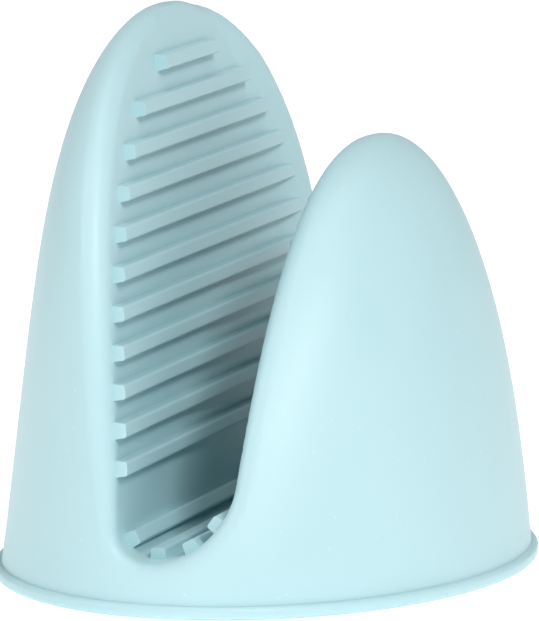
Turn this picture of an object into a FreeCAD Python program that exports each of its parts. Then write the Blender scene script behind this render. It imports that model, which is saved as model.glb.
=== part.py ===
import FreeCAD, Part
import math
import os

os.makedirs("parts", exist_ok=True)

# A short pinch-style oven mitt moulded in one piece of silicone rubber.
# A finger pocket (-X) and a thumb pocket (+X) stand on a common open cuff.
# A U-shaped web joins them at the bottom of the grip valley, where they flex.
# Millimetres. The cuff rim lies on Z = 0 and the origin is its centre.

# overall form
cuff_half_depth = 45.5       # cuff outside, along X
cuff_half_width = 61.9       # cuff outside, along Y
finger_height = 99.9         # top of the finger pocket
thumb_height = 76.9          # top of the thumb pocket
wall = 2.2                   # moulded wall
crown_wall = 4.0             # thicker tip of each pocket
shoulder = 8.0               # where the sides start to turn over

# finger pocket
finger_apex_x = 17.4         # top of the pocket, towards -X
finger_draft = 0.157         # lean of the back, mm per mm
finger_crown = 7.2           # how late the back turns over to the top
finger_arch = 3.0            # how late the sides turn over to the top
finger_face_x = 6.58         # grip face at Z = 0
finger_face_lean = 0.095

# thumb pocket
thumb_apex_x = 20.3
thumb_draft = 0.113
thumb_crown = 3.1
thumb_arch = 1.25
thumb_face_x = 10.0
thumb_face_lean = 0.048

# grip valley
valley_floor = 8.9           # top of the web at its lowest line
lowest_share = 0.547         # how far that line stands towards the finger face
hinge_height = 17.0          # where the straight faces begin
edge_round = 5.0             # rounded edge round each grip face

# grip ribs
rib_height = 2.6
rib_depth = 2.0
rib_round = 0.5
rib_foot = 1.0               # bar left behind the surface, cut to fit it
lowest_rib = hinge_height + 6.1      # under side of the lowest finger rib
thumb_rib_rise = 1.9         # thumb ribs start this much higher
finger_ribs = 11
thumb_ribs = 7
finger_top_band = 9.2        # plain band over the highest rib
thumb_top_band = 10.3
finger_rib_margin = 3.9      # plain band beside the ribs, low on the face
thumb_rib_margin = 8.5
finger_rib_arch = 2.9        # how late the ribs get shorter
thumb_rib_arch = 1.25
rib_arch_band = 8.3          # the ribs' own arch ends this far below the top
web_rib_count = 4
web_rib_first = 0.108        # first web rib, as a share of the curve's length
web_rib_step = 0.26
web_rib_margin = 7.3

# rolled edge of the cuff
bead_out = 1.0
bead_height = 2.3
bead_round = 0.7

# flexing
open_angle = 3.0             # degrees that a pocket may be spread
hinge_gap = 0.5              # clearance across each flex line

reach = cuff_half_width + 20.0
tall = finger_height + 20.0
far = cuff_half_depth + 40.0


def lobe_share(z, height):
    """0 up to the shoulder, 1 at the top of a pocket."""
    return max(0.0, min(1.0, (z - shoulder) / (height - shoulder)))


def face_x(z, sign):
    """Grip face position at height z."""
    if sign < 0:
        return -(finger_face_x + finger_face_lean * z)
    return thumb_face_x + thumb_face_lean * z


def lobe_plan(z, sign, inset):
    """Centre, depth and half width of a pocket's oval plan at height z."""
    if sign < 0:
        height, apex, draft = finger_height, finger_apex_x, finger_draft
        crown, arch = finger_crown, finger_arch
    else:
        height, apex, draft = thumb_height, thumb_apex_x, thumb_draft
        crown, arch = thumb_crown, thumb_arch
    if inset > 0.0:
        height -= crown_wall
        apex += 1.0
    share = lobe_share(z, height)
    back = cuff_half_depth - inset - draft * z
    turn = math.sqrt(max(0.0, 1.0 - share ** crown))
    spread = math.sqrt(max(0.0, 1.0 - share ** arch))
    centre = apex * share
    outer = apex + (back - apex) * turn
    return centre, max(outer - centre, 1.0), max((cuff_half_width - inset) * spread, 1.5)


def rounded_max(a, b, radius):
    """Joins two distances with a rounded corner."""
    if a > -radius and b > -radius:
        return math.hypot(a + radius, b + radius) - radius
    return max(a, b)


def outline_distance(x, y, plan, flat, radius):
    """Below zero inside the oval plan, cut flat at x = flat."""
    centre, depth, half_width = plan
    u = (x - centre) / depth
    v = y / half_width
    level = math.hypot(u, v)
    slope = math.hypot(u / depth, v / half_width) / max(level, 1e-6)
    oval = (level - 1.0) / max(slope, 1e-6)
    return rounded_max(oval, flat - x, radius)


def pocket_section(z, sign, inset, z_place):
    """Closed D-shaped plan of one pocket: a flat face with rounded corners."""
    plan = lobe_plan(z, sign, inset)
    flat = abs(face_x(z, sign)) + inset
    back = max(plan[0] + plan[1], flat + 1.5)
    plan = (plan[0], back - plan[0], plan[2])
    start = (flat + back) / 2.0
    radius = min(edge_round - inset, 0.42 * (back - flat))
    points = []
    count = 56
    for i in range(count):
        turn = 2.0 * math.pi * i / count
        # crowd the points towards the two ends of the long section
        dx = (back - flat) * 0.5 * math.cos(turn)
        dy = plan[2] * math.sin(turn)
        low, high = 0.0, 1.8
        for step in range(40):
            middle = (low + high) / 2.0
            if outline_distance(start + dx * middle, dy * middle, plan, flat, radius) > 0.0:
                high = middle
            else:
                low = middle
        points.append(FreeCAD.Vector(sign * (start + dx * low), dy * low, z_place))
    curve = Part.BSplineCurve()
    curve.interpolate(points, PeriodicFlag=True)
    return Part.Wire([curve.toShape()])


def oval_section(z, sign, inset, z_place):
    """Closed oval plan of one pocket."""
    centre, depth, half_width = lobe_plan(z, sign, inset)
    points = []
    count = 24
    for i in range(count):
        turn = 2.0 * math.pi * i / count
        x = centre + depth * math.cos(turn)
        points.append(FreeCAD.Vector(sign * x, half_width * math.sin(turn), z_place))
    curve = Part.BSplineCurve()
    curve.interpolate(points, PeriodicFlag=True)
    return Part.Wire([curve.toShape()])


def pocket_solid(sign, inset):
    """Solid block of one pocket, from just under its flex line to its top."""
    height = finger_height if sign < 0 else thumb_height
    if inset > 0.0:
        height -= crown_wall
    low = hinge_height - 5.0
    wires = []
    for share in (0.0, 0.08, 0.18, 0.29, 0.40, 0.51, 0.62, 0.72, 0.81, 0.88, 0.935, 0.972):
        z = low + share * (height - low)
        wires.append(pocket_section(z, sign, inset, z))
    wires.append(pocket_section(low + 0.994 * (height - low), sign, inset, height))
    return Part.makeLoft(wires, True, False)


def cuff_solid(sign, inset):
    """Oval block of the cuff, to just above the flex lines, for one side."""
    top = hinge_height + 3.0
    under = -5.0
    wires = [oval_section(under, sign, inset, under)]
    for share in (0.0, 0.2, 0.4, 0.6, 0.8, 1.0):
        wires.append(oval_section(share * top, sign, inset, share * top))
    block = Part.makeLoft(wires, True, False)
    low = under if inset > 0.0 else 0.0
    side = Part.makeBox(far, 2 * reach, top - low,
                        FreeCAD.Vector(0.0 if sign > 0 else -far, -reach, low))
    return block.common(side)


def face_tilt(sign):
    """Angle of a grip face from upright."""
    lean = -finger_face_lean if sign < 0 else thumb_face_lean
    return math.atan(lean)


def prism(points, half_length):
    """Closed XZ outline drawn out along Y."""
    vectors = [FreeCAD.Vector(x, -half_length, z) for x, z in points]
    vectors.append(vectors[0])
    face = Part.Face(Part.makePolygon(vectors))
    return face.extrude(FreeCAD.Vector(0, 2.0 * half_length, 0))


def valley_curve():
    """Lowest line of the valley and the radii of its curve on either side."""
    left = face_x(hinge_height, -1)
    right = face_x(hinge_height, 1)
    lowest_x = lowest_share * (left + right) / 2.0 + (1.0 - lowest_share) * left
    if lowest_x - left > hinge_height - valley_floor:
        lowest_x = left + hinge_height - valley_floor
    finger_radius = lowest_x - left
    half = right - lowest_x
    drop = hinge_height - valley_floor
    thumb_radius = (half * half + drop * drop) / (2.0 * drop)
    return lowest_x, finger_radius, thumb_radius


def valley_prism(grow):
    """Space of the grip valley. grow makes it larger on every side."""
    lowest_x, finger_radius, thumb_radius = valley_curve()
    finger_z = valley_floor + finger_radius
    thumb_z = valley_floor + thumb_radius
    small = finger_radius + grow
    large = thumb_radius + grow

    def at(x, z):
        return FreeCAD.Vector(x, -reach, z)

    turn = math.acos((thumb_z - hinge_height) / large)
    left_high = at(face_x(hinge_height, -1) - grow, hinge_height)
    left_low = at(lowest_x - small, finger_z)
    left_middle = at(lowest_x - small * math.sqrt(0.5), finger_z - small * math.sqrt(0.5))
    bottom = at(lowest_x, valley_floor - grow)
    right_middle = at(lowest_x + large * math.sin(turn / 2.0), thumb_z - large * math.cos(turn / 2.0))
    right = at(lowest_x + large * math.sin(turn), hinge_height)
    top_left = at(face_x(tall, -1) - grow, tall)
    top_right = at(face_x(tall, 1) + grow, tall)
    edges = [
        Part.makeLine(left_high, left_low),
        Part.Arc(left_low, left_middle, bottom).toShape(),
        Part.Arc(bottom, right_middle, right).toShape(),
        Part.makeLine(right, top_right),
        Part.makeLine(top_right, top_left),
        Part.makeLine(top_left, left_high),
    ]
    return Part.Face(Part.Wire(edges)).extrude(FreeCAD.Vector(0, 2.0 * reach, 0))


def pocket_cut(sign):
    """Space under a pocket: the flex gap, opening towards the back."""
    pivot = face_x(hinge_height, sign) + sign * wall / 2.0
    rise = math.tan(math.radians(open_angle + 0.5)) * (far - abs(pivot))
    floor = hinge_height + hinge_gap / 2.0
    outline = [
        (face_x(hinge_height, sign) - sign * 12.0, floor),
        (pivot, floor),
        (sign * far, floor + rise),
        (sign * far, -20.0),
        (face_x(hinge_height, sign) - sign * 12.0, -20.0),
    ]
    return prism(outline, reach)


def one(shape):
    """The single largest solid of a boolean result."""
    solids = sorted(shape.Solids, key=lambda s: -s.Volume)
    return solids[0]


def save(shape, name):
    shape.exportStep("parts/" + name + ".step")


# ---- pockets -------------------------------------------------------------

def pocket(sign):
    shell = pocket_solid(sign, 0.0).cut(pocket_solid(sign, wall))
    return one(shell.cut(pocket_cut(sign)))


finger_pocket = pocket(-1)
save(finger_pocket, "finger_pocket")
thumb_pocket = pocket(1)
save(thumb_pocket, "thumb_pocket")

# ---- cuff and web --------------------------------------------------------

below_hinge = Part.makeBox(2 * far, 2 * reach, hinge_height - hinge_gap / 2.0 + 10.0,
                           FreeCAD.Vector(-far, -reach, -10.0))


def envelope(inset):
    """Both sides of the cuff, joined along the middle plane."""
    return cuff_solid(-1, inset).fuse(cuff_solid(1, inset))


outside = envelope(0.0).common(below_hinge)
inside = envelope(wall)
valley = valley_prism(0.0)
valley_skin = valley_prism(wall)

cuff = one(outside.cut(inside).cut(valley_skin))
save(cuff, "cuff")
grip_web = one(valley_skin.cut(valley).common(outside))
save(grip_web, "grip_web")

# ---- rim bead ------------------------------------------------------------

def bead():
    """Half-round roll round the outside of the rim."""
    points = []
    for i in range(24):
        turn = 2.0 * math.pi * i / 24
        x = (cuff_half_depth + bead_out) * math.cos(turn)
        y = (cuff_half_width + bead_out) * math.sin(turn)
        points.append(FreeCAD.Vector(x, y, 0))
    curve = Part.BSplineCurve()
    curve.interpolate(points, PeriodicFlag=True)
    disc = Part.Face(Part.Wire([curve.toShape()])).extrude(FreeCAD.Vector(0, 0, bead_height))
    long_edges = [e for e in disc.Edges if e.BoundBox.XLength > cuff_half_depth]
    disc = disc.makeFillet(bead_round, long_edges)
    return one(disc.cut(envelope(0.0)))


rim_bead = bead()
save(rim_bead, "rim_bead")

# ---- grip ribs -----------------------------------------------------------

def rib_half_length(z, sign):
    """Ribs follow the arch of the face, inside a plain band."""
    top = (finger_height if sign < 0 else thumb_height) - rib_arch_band
    arch = finger_rib_arch if sign < 0 else thumb_rib_arch
    margin = finger_rib_margin if sign < 0 else thumb_rib_margin
    share = max(0.0, (z - shoulder) / (top - shoulder))
    spread = math.sqrt(max(0.0, 1.0 - share ** arch))
    return (cuff_half_width - margin) * spread


def rib_place(index, sign):
    """Height of a rib's under side, evenly spaced up to the plain band."""
    low = lowest_rib if sign < 0 else lowest_rib + thumb_rib_rise
    band = finger_top_band if sign < 0 else thumb_top_band
    height = finger_height if sign < 0 else thumb_height
    count = finger_ribs if sign < 0 else thumb_ribs
    pitch = (height - band - rib_height - low) / (count - 1)
    return low + pitch * index


def rib_bar(half_length):
    """One rib, rising from X = 0, its under side on Z = 0."""
    bar = Part.makeBox(rib_depth + rib_foot, 2 * half_length, rib_height,
                       FreeCAD.Vector(-rib_foot, -half_length, 0))
    front = [e for e in bar.Edges if e.BoundBox.XMin > rib_depth - 0.01]
    return bar.makeFillet(rib_round, front)


def face_rib(index, sign, block):
    z = rib_place(index, sign)
    bar = rib_bar(rib_half_length(z + rib_height / 2.0, sign))
    if sign > 0:
        bar = bar.mirror(FreeCAD.Vector(0, 0, 0), FreeCAD.Vector(1, 0, 0))
    bar.rotate(FreeCAD.Vector(0, 0, 0), FreeCAD.Vector(0, 1, 0), math.degrees(face_tilt(sign)))
    bar.translate(FreeCAD.Vector(face_x(z, sign), 0, z))
    return one(bar.cut(block))


finger_block = pocket_solid(-1, 0.0)
thumb_block = pocket_solid(1, 0.0)
for index in range(finger_ribs):
    save(face_rib(index, -1, finger_block), "finger_rib_%02d" % (finger_ribs - index))
for index in range(thumb_ribs):
    save(face_rib(index, 1, thumb_block), "thumb_rib_%02d" % (thumb_ribs - index))


def web_ribs():
    """Ribs across the bottom of the valley, evenly spaced along its curve."""
    lowest_x, finger_radius, thumb_radius = valley_curve()
    quarter = finger_radius * math.pi / 2.0
    half = face_x(hinge_height, 1) - lowest_x
    length = quarter + thumb_radius * math.asin(half / thumb_radius)
    ribs = []
    for index in range(web_rib_count):
        along = (web_rib_first + web_rib_step * index) * length
        if along < quarter:
            radius = finger_radius
            turn = math.pi / 2.0 - along / radius
        else:
            radius = thumb_radius
            turn = -(along - quarter) / radius
        bar = rib_bar(cuff_half_width - web_rib_margin)
        # the bar's back faces away from the centre of the curve
        bar.translate(FreeCAD.Vector(-radius, 0, -rib_height / 2.0))
        bar.rotate(FreeCAD.Vector(0, 0, 0), FreeCAD.Vector(0, 1, 0), math.degrees(turn) - 90.0)
        bar.translate(FreeCAD.Vector(lowest_x, 0, valley_floor + radius))
        ribs.append(one(bar.common(valley)))
    return ribs


for index, rib in enumerate(web_ribs()):
    save(rib, "web_rib_%d" % (index + 1))
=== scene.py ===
import math

import bmesh
import bpy
import numpy as np
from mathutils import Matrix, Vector


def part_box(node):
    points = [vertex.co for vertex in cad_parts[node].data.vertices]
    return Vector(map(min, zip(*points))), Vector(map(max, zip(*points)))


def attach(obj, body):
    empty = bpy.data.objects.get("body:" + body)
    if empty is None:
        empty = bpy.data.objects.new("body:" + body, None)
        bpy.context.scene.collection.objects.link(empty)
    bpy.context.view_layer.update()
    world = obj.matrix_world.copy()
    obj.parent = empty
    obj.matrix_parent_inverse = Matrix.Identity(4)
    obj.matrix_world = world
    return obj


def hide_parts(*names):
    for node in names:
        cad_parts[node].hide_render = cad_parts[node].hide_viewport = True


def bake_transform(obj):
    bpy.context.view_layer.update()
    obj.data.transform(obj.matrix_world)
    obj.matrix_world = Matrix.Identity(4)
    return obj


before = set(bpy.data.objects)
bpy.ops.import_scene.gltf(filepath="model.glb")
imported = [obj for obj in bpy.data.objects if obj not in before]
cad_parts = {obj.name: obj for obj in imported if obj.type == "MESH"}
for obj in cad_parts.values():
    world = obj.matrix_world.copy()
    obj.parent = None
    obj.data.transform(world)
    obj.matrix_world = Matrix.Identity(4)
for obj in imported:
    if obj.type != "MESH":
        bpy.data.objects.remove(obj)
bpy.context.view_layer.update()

# ---- Studio -----------------------------------------------------------------
# A pale matt table top in an even white room, with a strong soft light to the
# front right and weaker ones to the left and above. The camera looks along the
# valley from a little to the right.
table_near, table_far = 6, 9
mitt_middle = Vector((0, 0, 0.05))
floor_mesh = bpy.data.meshes.new("table_top")
table_corners = [(-table_near, -table_near, 0), (table_near, -table_near, 0),
                 (table_near, table_far, 0), (-table_near, table_far, 0)]
floor_mesh.from_pydata(table_corners, [], [(0, 1, 2, 3)])
floor = bpy.data.objects.new("table_top", floor_mesh)
bpy.context.collection.objects.link(floor)
floor_paint = bpy.data.materials.new("pale table top")
floor_paint.use_nodes = True
floor_shader = floor_paint.node_tree.nodes["Principled BSDF"]
floor_shader.inputs["Base Color"].default_value = (0.96, 0.962, 0.965, 1)
floor_shader.inputs["Roughness"].default_value = 0.9
floor_shader.inputs["Emission Color"].default_value = (1, 1, 1, 1)
floor_shader.inputs["Emission Strength"].default_value = 0.4
floor_shader.inputs["Specular IOR Level"].default_value = 0.1
floor_mesh.materials.append(floor_paint)

room = bpy.data.worlds.new("white room")
room.use_nodes = True
room_tree = room.node_tree
seen_white = room_tree.nodes["Background"]
seen_white.inputs["Strength"].default_value = 1.0
lit_white = room_tree.nodes.new("ShaderNodeBackground")
lit_white.inputs["Color"].default_value = (0.97, 0.99, 1.0, 1)
lit_white.inputs["Strength"].default_value = 0.31
seen_white.inputs["Color"].default_value = (1.0, 1.0, 1.0, 1)
which_ray = room_tree.nodes.new("ShaderNodeLightPath")
either = room_tree.nodes.new("ShaderNodeMixShader")
room_tree.links.new(which_ray.outputs["Is Camera Ray"], either.inputs[0])
room_tree.links.new(lit_white.outputs[0], either.inputs[1])
room_tree.links.new(seen_white.outputs[0], either.inputs[2])
room_tree.links.new(either.outputs[0], room_tree.nodes["World Output"].inputs["Surface"])
bpy.context.scene.world = room
bpy.context.scene.view_settings.view_transform = "Standard"
bpy.context.scene.view_settings.look = "Medium High Contrast"


def soft_light(name, place, size, power, tint):
    data = bpy.data.lights.new(name, "AREA")
    data.shape = "DISK"
    data.size = size
    data.energy = power
    data.color = tint
    lamp = bpy.data.objects.new(name, data)
    lamp.location = place
    aim = mitt_middle - Vector(place)
    lamp.rotation_euler = aim.to_track_quat("-Z", "Y").to_euler()
    bpy.context.collection.objects.link(lamp)


soft_light("soft light right", (1.15, -1.35, 1.3), 0.6, 20, (1.0, 1.0, 1.0))
soft_light("soft light left", (-1.5, -0.9, 1.1), 0.7, 7, (1.0, 0.99, 0.98))
soft_light("soft light above", (0.1, -0.3, 1.8), 1.0, 6, (1.0, 1.0, 1.0))

view_turn = math.radians(17.5)
view_rise = math.radians(7.7)
view_distance = 1.40
aim_right, aim_down = 0.0002, 0.0052
towards_camera = Vector((math.sin(view_turn) * math.cos(view_rise),
                         -math.cos(view_turn) * math.cos(view_rise),
                         math.sin(view_rise)))
view_right = Vector((math.cos(view_turn), math.sin(view_turn), 0))
view_up = towards_camera.cross(view_right)
camera_data = bpy.data.cameras.new("camera")
camera_data.sensor_width = 36
camera_data.lens = 459.4
camera_data.clip_end = 50
camera = bpy.data.objects.new("camera", camera_data)
camera.location = mitt_middle + towards_camera * view_distance
aim_point = mitt_middle + view_right * aim_right - view_up * aim_down
camera.rotation_euler = (camera.location - aim_point).to_track_quat("Z", "Y").to_euler()
bpy.context.collection.objects.link(camera)
bpy.context.scene.camera = camera

# ---- Moulded skin ------------------------------------------------------------
# One wall of silicone rubber, cast in a single mould: a tall finger pocket, a
# lower thumb pocket and the oval cuff, joined across the bottom of the valley.
# It is made here in two halves that meet along the lowest line of the valley.
cuff_high = np.array(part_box("cuff")[1]) * 1000
finger_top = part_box("finger_pocket")[1][2] * 1000
thumb_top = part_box("thumb_pocket")[1][2] * 1000
cuff_depth = cuff_high[0]
cuff_width = cuff_high[1]
wall = 2.2
lining_drop = 1.8            # lining stops this many walls under the top
valley_floor = 8.9
lowest_x = -3.0
#              top         apex   draft  crown arch
finger_form = (finger_top, 17.35, 0.1575, 6.54, 3.27)
thumb_form = (thumb_top, 20.45, 0.1095, 2.97, 1.21)
dome_base = 8.0
finger_face, finger_bow = 8.46, 0.00092
thumb_face, thumb_lean = 10.0, 0.0477
far_lip, far_lip_from = 4.54, 0.663
lip_low, lip_rise = 16, 18   # the curl fades in over this height
lip_full_width = 40          # and fades out where the pocket is narrower
edge_round = 3.1             # rounded edge round each grip face, low down
finger_more_round, thumb_more_round = 1.6, 0.6
round_low, round_high = 12, 36
finger_meets_squared = 220   # square of the height where wall and curve meet
thumb_meets = 22.7
finger_radius = finger_face + finger_bow * finger_meets_squared + lowest_x
thumb_radius = thumb_face + thumb_lean * thumb_meets - lowest_x


def dome(x, y, z, form, inset):
    """How far out a point is on one pocket's oval dome: 1 on its surface."""
    top, apex, draft, crown, arch = form
    share = np.clip((z - dome_base) / (top - lining_drop * inset - dome_base), 0, 0.99999)
    turn = np.sqrt(1 - share ** crown)
    spread = np.sqrt(1 - share ** arch)
    back = cuff_depth - inset - draft * z
    centre = apex * share
    depth = apex + (back - apex) * turn - centre
    return np.hypot((x - centre) / depth, y / ((cuff_width - inset) * spread))


def dome_distance(x, y, z, form, inset):
    step = 0.02
    level = dome(x, y, z, form, inset)
    slope = [dome(x + step, y, z, form, inset) - dome(x - step, y, z, form, inset),
             dome(x, y + step, z, form, inset) - dome(x, y - step, z, form, inset),
             dome(x, y, z + step, form, inset) - dome(x, y, z - step, form, inset)]
    steep = np.sqrt(slope[0] ** 2 + slope[1] ** 2 + slope[2] ** 2) / (2 * step)
    return np.clip((level - 1) / np.maximum(steep, 1e-3), -30, 60)


def smooth(value, low, high):
    share = np.clip((value - low) / (high - low), 0, 1)
    return share * share * (3 - 2 * share)


def finger_wall(y, z):
    """How far the finger wall stands back from the middle; its far edge curls forward."""
    share = np.clip((z - dome_base) / (finger_top - dome_base), 0, 0.99999)
    half_width = cuff_width * np.sqrt(1 - share ** finger_form[4])
    curl = np.clip((y / half_width - far_lip_from) / (1 - far_lip_from), 0, 1.1)
    fade = np.clip((z - lip_low) / lip_rise, 0, 1) * np.minimum(half_width / lip_full_width, 1)
    curl = far_lip * curl ** 2 * fade
    return finger_face + finger_bow * z * z - curl


def valley_distance(x, y, z):
    """Above zero in the open valley, below zero behind its walls."""
    across = x - lowest_x
    to_finger = x + finger_wall(y, z)
    to_thumb = (thumb_face + thumb_lean * z - x) / math.hypot(1, thumb_lean)
    finger_low = z - valley_floor - finger_radius
    thumb_low = z - valley_floor - thumb_radius
    finger_side = np.where(finger_low < 0, finger_radius - np.hypot(across, finger_low),
                           np.minimum(to_finger, np.where(thumb_low < 0, 60, to_thumb)))
    thumb_side = np.where(thumb_low < 0, thumb_radius - np.hypot(across, thumb_low),
                          np.minimum(to_thumb, to_finger))
    return np.where(across < 0, finger_side, thumb_side)


def skin_distance(p, inset):
    """Signed distance to the skin: the outer face for inset 0, the lining for one wall."""
    x, y, z = p[..., 0], p[..., 1], p[..., 2]
    body = np.where(x < lowest_x,
                    dome_distance(-x, y, z, finger_form, inset),
                    dome_distance(x, y, z, thumb_form, inset))
    valley = valley_distance(x, y, z) + inset
    more = np.where(x < lowest_x, finger_more_round, thumb_more_round)
    radius = edge_round + more * smooth(z, round_low, round_high) - inset
    both = (body > -radius) & (valley > -radius)
    rounded = np.hypot(np.maximum(body + radius, 0), np.maximum(valley + radius, 0)) - radius
    return np.where(both, rounded, np.maximum(body, valley))


def skin_slope(p, inset):
    step = 0.05
    slope = np.zeros_like(p)
    for axis in range(3):
        shift = np.zeros(3)
        shift[axis] = step
        rise = skin_distance(p + shift, inset) - skin_distance(p - shift, inset)
        slope[:, axis] = rise / (2 * step)
    return slope


def net(values, start, step):
    """Quad mesh over the zero surface of a sampled field."""
    inside = values < 0
    cells = tuple(n - 1 for n in values.shape)
    total, hits = np.zeros(cells + (3,)), np.zeros(cells)
    corner = [slice(None, -1), slice(1, None)]
    for axis in range(3):
        near = [slice(None)] * 3
        away = [slice(None)] * 3
        near[axis], away[axis] = corner
        a, b = values[tuple(near)], values[tuple(away)]
        cross = (a < 0) != (b < 0)
        part = np.where(cross, a / np.where(cross, a - b, 1), 0)
        others = [k for k in range(3) if k != axis]
        for i in (0, 1):
            for j in (0, 1):
                pick = [slice(None)] * 3
                pick[others[0]], pick[others[1]] = corner[i], corner[j]
                hit = cross[tuple(pick)]
                hits += hit
                total[..., axis] += np.where(hit, part[tuple(pick)], 0)
                total[..., others[0]] += hit * i
                total[..., others[1]] += hit * j
    used = hits > 0
    number = np.full(cells, -1)
    number[used] = np.arange(used.sum())
    place = (np.argwhere(used) + total[used] / hits[used][:, None]) * step + start
    faces = []
    for axis in range(3):
        u, v = (axis + 1) % 3, (axis + 2) % 3
        near = [slice(1, -1)] * 3
        away = [slice(1, -1)] * 3
        near[axis], away[axis] = corner
        a, b = inside[tuple(near)], inside[tuple(away)]
        for rising in (True, False):
            spots = np.argwhere((a != b) & (a == rising))
            spots[:, u] += 1
            spots[:, v] += 1
            quad = []
            for du, dv in ((0, 0), (1, 0), (1, 1), (0, 1)):
                cell = spots.copy()
                cell[:, u] -= 1 - du
                cell[:, v] -= 1 - dv
                quad.append(number[cell[:, 0], cell[:, 1], cell[:, 2]])
            quad = np.stack(quad, 1)
            faces.append(quad if rising else quad[:, ::-1])
    return place, np.concatenate(faces)


def skin_surface(inset, step):
    """Even mesh of the outer skin or of its lining, open under the cuff."""
    spare = 3
    start = np.array([-cuff_depth - spare, -cuff_width - spare, -3 * step])
    end = np.array([cuff_depth + spare, cuff_width + spare, finger_top + spare])
    axes = [np.arange(a, b + step, step) for a, b in zip(start, end)]
    grid = np.stack(np.meshgrid(*axes, indexing="ij"), -1)
    place, faces = net(skin_distance(grid, inset), start, step)
    edges = np.concatenate([faces[:, [i, (i + 1) % 4]] for i in range(4)])
    for _ in range(8):
        near = np.zeros_like(place)
        count = np.zeros(len(place))
        for a, b in ((0, 1), (1, 0)):
            np.add.at(near, edges[:, a], place[edges[:, b]])
            np.add.at(count, edges[:, a], 1)
        slope = skin_slope(place, inset)
        normal = slope / np.maximum(np.linalg.norm(slope, axis=1), 1e-6)[:, None]
        drift = near / count[:, None] - place
        drift -= normal * (drift * normal).sum(1)[:, None]
        place = place + 0.5 * drift
        for _ in range(2):
            slope = skin_slope(place, inset)
            size = np.maximum((slope ** 2).sum(1), 0.05)
            move = (skin_distance(place, inset) / size)[:, None] * slope
            place = place - np.clip(move, -0.5 * step, 0.5 * step)
    return place, faces


def half_skin(name, side):
    """Closed piece of one half: outer skin, lining and the cut edges between them."""
    bm = bmesh.new()
    for place, faces, flip in ((outer[0], outer[1], False), (lining[0], lining[1], True)):
        part = bmesh.new()
        corners = [part.verts.new(p) for p in place]
        for face in faces:
            order = face[::-1] if flip else face
            part.faces.new([corners[i] for i in order])
        for point, away in (((0, 0, 0), (0, 0, -1)), ((lowest_x, 0, 0), (-side, 0, 0))):
            everything = part.verts[:] + part.edges[:] + part.faces[:]
            bmesh.ops.bisect_plane(part, geom=everything, plane_co=point, plane_no=away,
                                   clear_outer=True, dist=1e-4)
        bmesh.ops.dissolve_degenerate(part, edges=part.edges[:], dist=0.02)
        kind = part.faces.layers.int.new("lining")
        for face in part.faces:
            face[kind] = 1 if flip else 0
        kept = bpy.data.meshes.new("half")
        part.to_mesh(kept)
        part.free()
        bm.from_mesh(kept)
        bpy.data.meshes.remove(kept)
    rims = [e for e in bm.edges if e.is_boundary]
    strip = bmesh.ops.bridge_loops(bm, edges=rims)["faces"]
    kind = bm.faces.layers.int["lining"]
    for face in strip:
        face[kind] = 2
    bmesh.ops.recalc_face_normals(bm, faces=bm.faces[:])
    for face in bm.faces:
        face.smooth = True
    mesh = bpy.data.meshes.new(name)
    bm.to_mesh(mesh)
    bm.free()
    # shade with the true slope of the moulding, so that the two halves meet unseen
    points = np.array([v.co for v in mesh.vertices])
    faces_kind = np.array([d.value for d in mesh.attributes["lining"].data])
    slopes = [skin_slope(points, 0.0), -skin_slope(points, wall)]
    slopes = [s / np.maximum(np.linalg.norm(s, axis=1), 1e-6)[:, None] for s in slopes]
    normals = np.zeros((len(mesh.loops), 3))
    for face in mesh.polygons:
        for loop in face.loop_indices:
            if faces_kind[face.index] == 2:
                normals[loop] = face.normal
            else:
                normals[loop] = slopes[faces_kind[face.index]][mesh.loops[loop].vertex_index]
    mesh.vertices.foreach_set("co", (points / 1000).ravel())
    mesh.update()
    mesh.normals_split_custom_set(normals)
    piece = bpy.data.objects.new(name, mesh)
    bpy.context.collection.objects.link(piece)
    return piece


grain = 1.15
outer = skin_surface(0.0, grain)
lining = skin_surface(wall, grain)
finger_skin = half_skin("finger_half", -1)
thumb_skin = half_skin("thumb_half", 1)

# The rubber is pale mint and satin from the mould, with a fine even grain, slow
# cloudy changes of tone and a few specks of lint that cling to it.
silicone = bpy.data.materials.new("mint silicone")
silicone.use_nodes = True
tree = silicone.node_tree
shader = tree.nodes["Principled BSDF"]
shader.inputs["Specular IOR Level"].default_value = 0.45
shader.inputs["Sheen Weight"].default_value = 0.12
shader.inputs["Sheen Roughness"].default_value = 0.45


def node(kind, **inputs):
    made = tree.nodes.new(kind)
    for key, value in inputs.items():
        made.inputs[key.replace("_", " ")].default_value = value
    return made


def link(a, b):
    tree.links.new(a, b)


place_on = tree.nodes.new("ShaderNodeTexCoord")
cloud = node("ShaderNodeTexNoise", Scale=28.0, Detail=3.0, Roughness=0.5)
link(place_on.outputs["Object"], cloud.inputs["Vector"])
tone = tree.nodes.new("ShaderNodeValToRGB")
tone.color_ramp.elements[0].position = 0.3
tone.color_ramp.elements[0].color = (0.445, 0.640, 0.672, 1)
tone.color_ramp.elements[1].position = 0.7
tone.color_ramp.elements[1].color = (0.467, 0.660, 0.692, 1)
link(cloud.outputs["Fac"], tone.inputs["Fac"])
specks = node("ShaderNodeTexVoronoi", Scale=260.0)
link(place_on.outputs["Object"], specks.inputs["Vector"])
lint = node("ShaderNodeMapRange", From_Min=0.05, From_Max=0.09, To_Min=0.16, To_Max=0.0)
link(specks.outputs["Distance"], lint.inputs["Value"])
coat = tree.nodes.new("ShaderNodeMix")
coat.data_type = "RGBA"
coat.inputs["B"].default_value = (0.78, 0.86, 0.87, 1)
link(lint.outputs["Result"], coat.inputs["Factor"])
link(tone.outputs["Color"], coat.inputs["A"])
link(coat.outputs["Result"], shader.inputs["Base Color"])
fine = node("ShaderNodeTexNoise", Scale=2600.0, Detail=2.0, Roughness=0.6)
link(place_on.outputs["Object"], fine.inputs["Vector"])
gloss = node("ShaderNodeMapRange", To_Min=0.40, To_Max=0.52)
link(cloud.outputs["Fac"], gloss.inputs["Value"])
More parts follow.
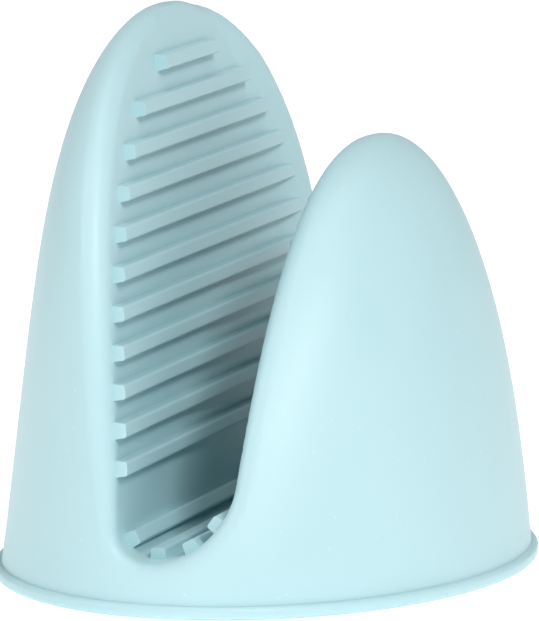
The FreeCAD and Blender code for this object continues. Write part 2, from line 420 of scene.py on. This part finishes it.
link(gloss.outputs["Result"], shader.inputs["Roughness"])
relief = node("ShaderNodeBump", Strength=0.12, Distance=0.0001)
link(fine.outputs["Fac"], relief.inputs["Height"])
link(relief.outputs["Normal"], shader.inputs["Normal"])

finger_skin.data.materials.append(silicone)
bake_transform(finger_skin)
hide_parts("finger_pocket", "cuff")
thumb_skin.data.materials.append(silicone)
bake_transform(thumb_skin)
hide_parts("thumb_pocket", "grip_web")

# ---- Grip ribs -----------------------------------------------------------------
# Straight bars moulded onto the two facing walls and across the bottom of the
# valley, all on one pitch. Their corners are soft and they flare at the foot.
rib_height = 2.6
rib_depth = 2.0
rib_pitch = 6.5
lowest_rib = 23.4
thumb_rib_rise = 1.9
finger_rib_margin, thumb_rib_margin = 3.9, 12.0
web_half_length = 54.6
rib_arch_band = 8.3


def bar_tree():
    """One bar swept along Y, set on a leaning wall or round a curve, once a pitch."""
    tree = bpy.data.node_groups.new("moulded bars", "GeometryNodeTree")
    tree.interface.new_socket(name="Geometry", in_out="OUTPUT", socket_type="NodeSocketGeometry")
    squareness = 0.3             # 1 is round, less is squarer
    sunk = 0.9                   # how far the foot goes into the wall
    straight = 0.7               # share of a bar that keeps its full section
    sockets = {}
    kinds = {"Count": "Int", "Rubber": "Material"}
    for name in ("Count", "Pitch", "Height", "Depth", "Foot", "Soft end", "Side", "Face at base",
                 "Lean", "Bow", "Lowest", "Half length", "Arch from", "Arch top", "Arch power",
                 "Finger radius", "Thumb radius", "Curve X", "Curve floor", "First along", "Rubber"):
        kind = "NodeSocket" + kinds.get(name, "Float")
        made = tree.interface.new_socket(name=name, in_out="INPUT", socket_type=kind)
        sockets[name] = made.identifier
    given = tree.nodes.new("NodeGroupInput").outputs

    def put(value, target):
        if isinstance(value, (int, float, tuple, str)):
            target.default_value = value
        else:
            tree.links.new(value, target)

    def step(kind, a, b=0.0):
        made = tree.nodes.new("ShaderNodeMath")
        made.operation = kind
        put(a, made.inputs[0])
        put(b, made.inputs[1])
        return made.outputs[0]

    def vector(x, y, z):
        made = tree.nodes.new("ShaderNodeCombineXYZ")
        for value, target in zip((x, y, z), made.inputs):
            put(value, target)
        return made.outputs[0]

    def build(kind, geometry=None, **inputs):
        made = tree.nodes.new(kind)
        if geometry is not None:
            tree.links.new(geometry, made.inputs[0])
        for key, value in inputs.items():
            put(value, made.inputs[key.replace("_", " ")])
        return made

    # section: a rounded block that flares into the wall at its foot
    trace = build("GeometryNodeCurvePrimitiveLine").outputs[0]
    trace = build("GeometryNodeResampleCurve", trace, Count=37).outputs[0]
    half_turn = step("MULTIPLY", tree.nodes.new("GeometryNodeSplineParameter").outputs["Factor"], math.pi)
    cosine = step("COSINE", half_turn)
    sine = step("MAXIMUM", step("SINE", half_turn), 0.0)
    across = step("MULTIPLY", step("SIGN", cosine), step("POWER", step("ABSOLUTE", cosine), squareness))
    rise = step("MULTIPLY", given["Depth"], step("POWER", sine, squareness))
    near = step("SUBTRACT", 1.0, step("MINIMUM", step("DIVIDE", rise, given["Foot"]), 1.0))
    flare = step("MULTIPLY", step("MULTIPLY", near, near), given["Foot"])
    width = step("ADD", step("MULTIPLY", given["Height"], 0.5), flare)
    lift = step("SUBTRACT", rise, step("MULTIPLY", near, sunk))
    trace = build("GeometryNodeSetPosition", trace,
                  Position=vector(lift, step("MULTIPLY", across, width), 0.0)).outputs[0]
    section = build("GeometryNodeSetSplineCyclic", trace, Cyclic=True).outputs[0]
    # bar: straight along Y, drawn in a little at each end
    spine = build("GeometryNodeCurvePrimitiveLine", Start=(0, -1, 0), End=(0, 1, 0)).outputs[0]
    spine = build("GeometryNodeResampleCurve", spine, Count=41).outputs[0]
    share = tree.nodes.new("GeometryNodeSplineParameter").outputs["Factor"]
    part = step("SUBTRACT", step("MULTIPLY", share, 2.0), 1.0)

    def end_share(distance):
        return step("MAXIMUM", step("DIVIDE", step("SUBTRACT", distance, straight), 1 - straight), 0.0)

    tip = end_share(step("ABSOLUTE", part))
    drawn_in = step("SUBTRACT", 1.0, step("COSINE", step("MULTIPLY", tip, math.pi / 2)))
    slim = step("SUBTRACT", 1.0, step("MULTIPLY", drawn_in, 0.5))
    spine = build("GeometryNodeSetCurveRadius", spine, Radius=slim).outputs[0]
    bar = build("GeometryNodeCurveToMesh", spine, Profile_Curve=section, Fill_Caps=True).outputs[0]
    # places: up the leaning wall, or round the curve where a radius is given
    line = build("GeometryNodeMeshLine", Count=given["Count"]).outputs[0]
    number = tree.nodes.new("GeometryNodeInputIndex").outputs[0]
    up = step("ADD", given["Lowest"], step("MULTIPLY", number, given["Pitch"]))
    stand = step("ADD", given["Face at base"], step("MULTIPLY", given["Lean"], up))
    stand = step("ADD", stand, step("MULTIPLY", given["Bow"], step("MULTIPLY", up, up)))
    slope = step("ADD", given["Lean"], step("MULTIPLY", given["Bow"], step("MULTIPLY", up, 2.0)))
    wall_x = step("MULTIPLY", given["Side"], stand)
    wall_turn = step("ADD", step("MULTIPLY", step("ADD", given["Side"], 1.0), math.pi / 2),
                     step("MULTIPLY", given["Side"], step("ARCTANGENT", slope)))
    # round the bottom: a small curve on the finger side, then a large one
    curved = step("GREATER_THAN", given["Finger radius"], 0.01)
    along = step("ADD", given["First along"], step("MULTIPLY", number, given["Pitch"]))
    past = step("SUBTRACT", along, step("MULTIPLY", given["Finger radius"], math.pi / 2))
    second = step("GREATER_THAN", past, 0.0)

    def choose(which, yes, no):
        return step("ADD", step("MULTIPLY", which, yes), step("MULTIPLY", step("SUBTRACT", 1.0, which), no))

    radius = step("MAXIMUM", choose(second, given["Thumb radius"], given["Finger radius"]), 0.01)
    angle = step("ADD", step("DIVIDE", past, radius), 1.5 * math.pi)
    ring_x = step("ADD", given["Curve X"], step("MULTIPLY", radius, step("COSINE", angle)))
    ring_middle = step("ADD", given["Curve floor"], radius)
    ring_z = step("ADD", ring_middle, step("MULTIPLY", radius, step("SINE", angle)))
    turn = choose(curved, step("SUBTRACT", math.pi, angle), wall_turn)
    spot = vector(choose(curved, ring_x, wall_x), 0.0, choose(curved, ring_z, up))
    line = build("GeometryNodeSetPosition", line, Position=spot).outputs[0]
    arch_height = step("SUBTRACT", given["Arch top"], given["Arch from"])
    arch = step("DIVIDE", step("SUBTRACT", up, given["Arch from"]), arch_height)
    arch = step("POWER", step("MINIMUM", step("MAXIMUM", arch, 0.0), 0.999), given["Arch power"])
    half = step("MULTIPLY", given["Half length"], step("SQRT", step("SUBTRACT", 1.0, arch)))
    store = build("GeometryNodeStoreNamedAttribute", line, Name="half length")
    store.data_type = "FLOAT"
    put(half, store.inputs["Value"])
    copies = build("GeometryNodeInstanceOnPoints", store.outputs[0], Instance=bar,
                   Rotation=vector(0.0, turn, 0.0)).outputs[0]
    whole = build("GeometryNodeRealizeInstances", copies).outputs[0]
    # draw every bar out to its own length
    read = build("GeometryNodeInputNamedAttribute", Name="half length")
    read.data_type = "FLOAT"
    spot = build("ShaderNodeSeparateXYZ")
    tree.links.new(tree.nodes.new("GeometryNodeInputPosition").outputs[0], spot.inputs[0])
    reach = step("ABSOLUTE", spot.outputs["Y"])
    body = step("MULTIPLY", step("MINIMUM", step("DIVIDE", reach, straight), 1.0),
                step("SUBTRACT", read.outputs["Attribute"], given["Soft end"]))
    bow = step("SINE", step("MULTIPLY", end_share(reach), math.pi / 2))
    bow = step("MULTIPLY", bow, given["Soft end"])
    y = step("MULTIPLY", step("SIGN", spot.outputs["Y"]), step("ADD", body, bow))
    whole = build("GeometryNodeSetPosition", whole,
                  Position=vector(spot.outputs["X"], y, spot.outputs["Z"])).outputs[0]
    scaled = build("GeometryNodeTransform", whole, Scale=(0.001, 0.001, 0.001)).outputs[0]
    plain = build("GeometryNodeRealizeInstances", scaled).outputs[0]
    done = build("GeometryNodeSetMaterial", plain, Material=given["Rubber"]).outputs[0]
    tree.links.new(done, tree.nodes.new("NodeGroupOutput").inputs[0])
    return tree, sockets


bars, bar_inputs = bar_tree()


def grown(name, tree, inputs, values):
    """Runs a tree on an empty object and keeps its result as a plain mesh."""
    seed_mesh = bpy.data.meshes.new("seed")
    piece = bpy.data.objects.new(name, seed_mesh)
    bpy.context.collection.objects.link(piece)
    grow = piece.modifiers.new("grow", "NODES")
    grow.node_group = tree
    for key, value in values.items():
        grow[inputs[key]] = value
    seen = piece.evaluated_get(bpy.context.evaluated_depsgraph_get())
    result = bpy.data.meshes.new_from_object(seen)
    piece.modifiers.remove(grow)
    piece.data = result
    result.name = name
    bpy.data.meshes.remove(seed_mesh)
    return piece


bar_size = {"Pitch": rib_pitch, "Height": rib_height, "Depth": rib_depth, "Foot": 0.35, "Soft end": 1.2,
            "Rubber": silicone}
no_curve = {"Finger radius": 0.0, "Thumb radius": 0.0, "Curve X": 0.0, "Curve floor": 0.0, "First along": 0.0}
wall_bars = bar_size | no_curve | {"Arch from": dome_base}
lowest_middle = lowest_rib + rib_height / 2
finger_bars = grown("finger_ribs", bars, bar_inputs, wall_bars | {
    "Count": 11, "Side": -1.0, "Face at base": finger_face, "Lean": 0.0, "Bow": finger_bow,
    "Lowest": lowest_middle, "Half length": cuff_width - finger_rib_margin,
    "Arch top": finger_top - rib_arch_band, "Arch power": 2.9})
thumb_bars = grown("thumb_ribs", bars, bar_inputs, wall_bars | {
    "Count": 7, "Side": 1.0, "Face at base": thumb_face, "Lean": thumb_lean, "Bow": 0.0,
    "Lowest": lowest_middle + thumb_rib_rise, "Half length": cuff_width - thumb_rib_margin,
    "Arch top": thumb_top - rib_arch_band, "Arch power": 1.25})
# the bars across the valley go on at the same pitch, two below the lowest finger bar
first_along = 2 * rib_pitch - (lowest_middle - valley_floor - finger_radius)
no_wall = {"Side": -1.0, "Face at base": 0.0, "Lean": 0.0, "Bow": 0.0, "Lowest": 0.0, "Arch from": 0.0,
           "Arch top": 1000.0, "Arch power": 4.0}
web_bars = grown("valley_ribs", bars, bar_inputs, bar_size | no_wall | {
    "Count": 4, "Half length": web_half_length, "Finger radius": finger_radius,
    "Thumb radius": thumb_radius, "Curve X": lowest_x, "Curve floor": valley_floor,
    "First along": first_along})
for piece, body in ((finger_bars, "finger"), (thumb_bars, "thumb"), (web_bars, "cuff")):
    for face in piece.data.polygons:
        face.use_smooth = True
    piece.data.set_sharp_from_angle(angle=math.radians(50))
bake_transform(finger_bars)
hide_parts(*["finger_rib_%02d" % (i + 1) for i in range(11)])
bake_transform(thumb_bars)
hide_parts(*["thumb_rib_%02d" % (i + 1) for i in range(7)])
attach(web_bars, "cuff")
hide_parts(*["web_rib_%d" % (i + 1) for i in range(4)])

# ---- Rolled edge of the cuff -----------------------------------------------------
# A thin bead moulded round the outside of the open rim, which keeps it from
# tearing. It stands on the table and is part of the same casting.
bead_high = np.array(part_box("rim_bead")[1]) * 1000
bead_thickness = 3.2
bead_corner = 0.85


def bead_tree():
    """A small rounded section swept round an oval."""
    tree = bpy.data.node_groups.new("rolled edge", "GeometryNodeTree")
    tree.interface.new_socket(name="Geometry", in_out="OUTPUT", socket_type="NodeSocketGeometry")
    sockets = {}
    for name, kind in (("Half depth", "Float"), ("Half width", "Float"), ("Thickness", "Float"),
                       ("Height", "Float"), ("Rubber", "Material")):
        made = tree.interface.new_socket(name=name, in_out="INPUT", socket_type="NodeSocket" + kind)
        sockets[name] = made.identifier
    given = tree.nodes.new("NodeGroupInput").outputs
    join = tree.links.new

    def half(value):
        made = tree.nodes.new("ShaderNodeMath")
        made.operation = "MULTIPLY"
        made.inputs[1].default_value = 0.5
        join(value, made.inputs[0])
        return made.outputs[0]

    # inner oval: the section's middle, then scaled to the cuff
    oval = tree.nodes.new("GeometryNodeCurvePrimitiveCircle")
    oval.inputs["Resolution"].default_value = 240
    oval.inputs["Radius"].default_value = 1.0
    slim = tree.nodes.new("ShaderNodeMath")
    slim.operation = "SUBTRACT"
    join(given["Half depth"], slim.inputs[0])
    join(half(given["Thickness"]), slim.inputs[1])
    wide = tree.nodes.new("ShaderNodeMath")
    wide.operation = "SUBTRACT"
    join(given["Half width"], wide.inputs[0])
    join(half(given["Thickness"]), wide.inputs[1])
    size = tree.nodes.new("ShaderNodeCombineXYZ")
    join(slim.outputs[0], size.inputs["X"])
    join(wide.outputs[0], size.inputs["Y"])
    stretch = tree.nodes.new("GeometryNodeTransform")
    join(oval.outputs[0], stretch.inputs["Geometry"])
    join(size.outputs[0], stretch.inputs["Scale"])
    lift = tree.nodes.new("ShaderNodeCombineXYZ")
    join(half(given["Height"]), lift.inputs["Z"])
    join(lift.outputs[0], stretch.inputs["Translation"])
    # section: a rounded strip
    strip = tree.nodes.new("GeometryNodeCurvePrimitiveQuadrilateral")
    join(given["Thickness"], strip.inputs["Width"])
    join(given["Height"], strip.inputs["Height"])
    soft = tree.nodes.new("GeometryNodeFilletCurve")
    soft.mode = "POLY"
    soft.inputs["Count"].default_value = 6
    soft.inputs["Radius"].default_value = bead_corner
    soft.inputs["Limit Radius"].default_value = True
    join(strip.outputs[0], soft.inputs["Curve"])
    sweep = tree.nodes.new("GeometryNodeCurveToMesh")
    join(stretch.outputs[0], sweep.inputs["Curve"])
    join(soft.outputs[0], sweep.inputs["Profile Curve"])
    small = tree.nodes.new("GeometryNodeTransform")
    small.inputs["Scale"].default_value = (0.001, 0.001, 0.001)
    join(sweep.outputs[0], small.inputs["Geometry"])
    plain = tree.nodes.new("GeometryNodeRealizeInstances")
    join(small.outputs[0], plain.inputs["Geometry"])
    paint = tree.nodes.new("GeometryNodeSetMaterial")
    join(plain.outputs[0], paint.inputs["Geometry"])
    join(given["Rubber"], paint.inputs["Material"])
    join(paint.outputs[0], tree.nodes.new("NodeGroupOutput").inputs[0])
    return tree, sockets


edge_roll, edge_inputs = bead_tree()
bead = grown("rim_roll", edge_roll, edge_inputs, {
    "Half depth": float(bead_high[0]), "Half width": float(bead_high[1]), "Thickness": bead_thickness,
    "Height": float(bead_high[2]), "Rubber": silicone})
for face in bead.data.polygons:
    face.use_smooth = True
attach(bead, "cuff")
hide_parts("rim_bead")
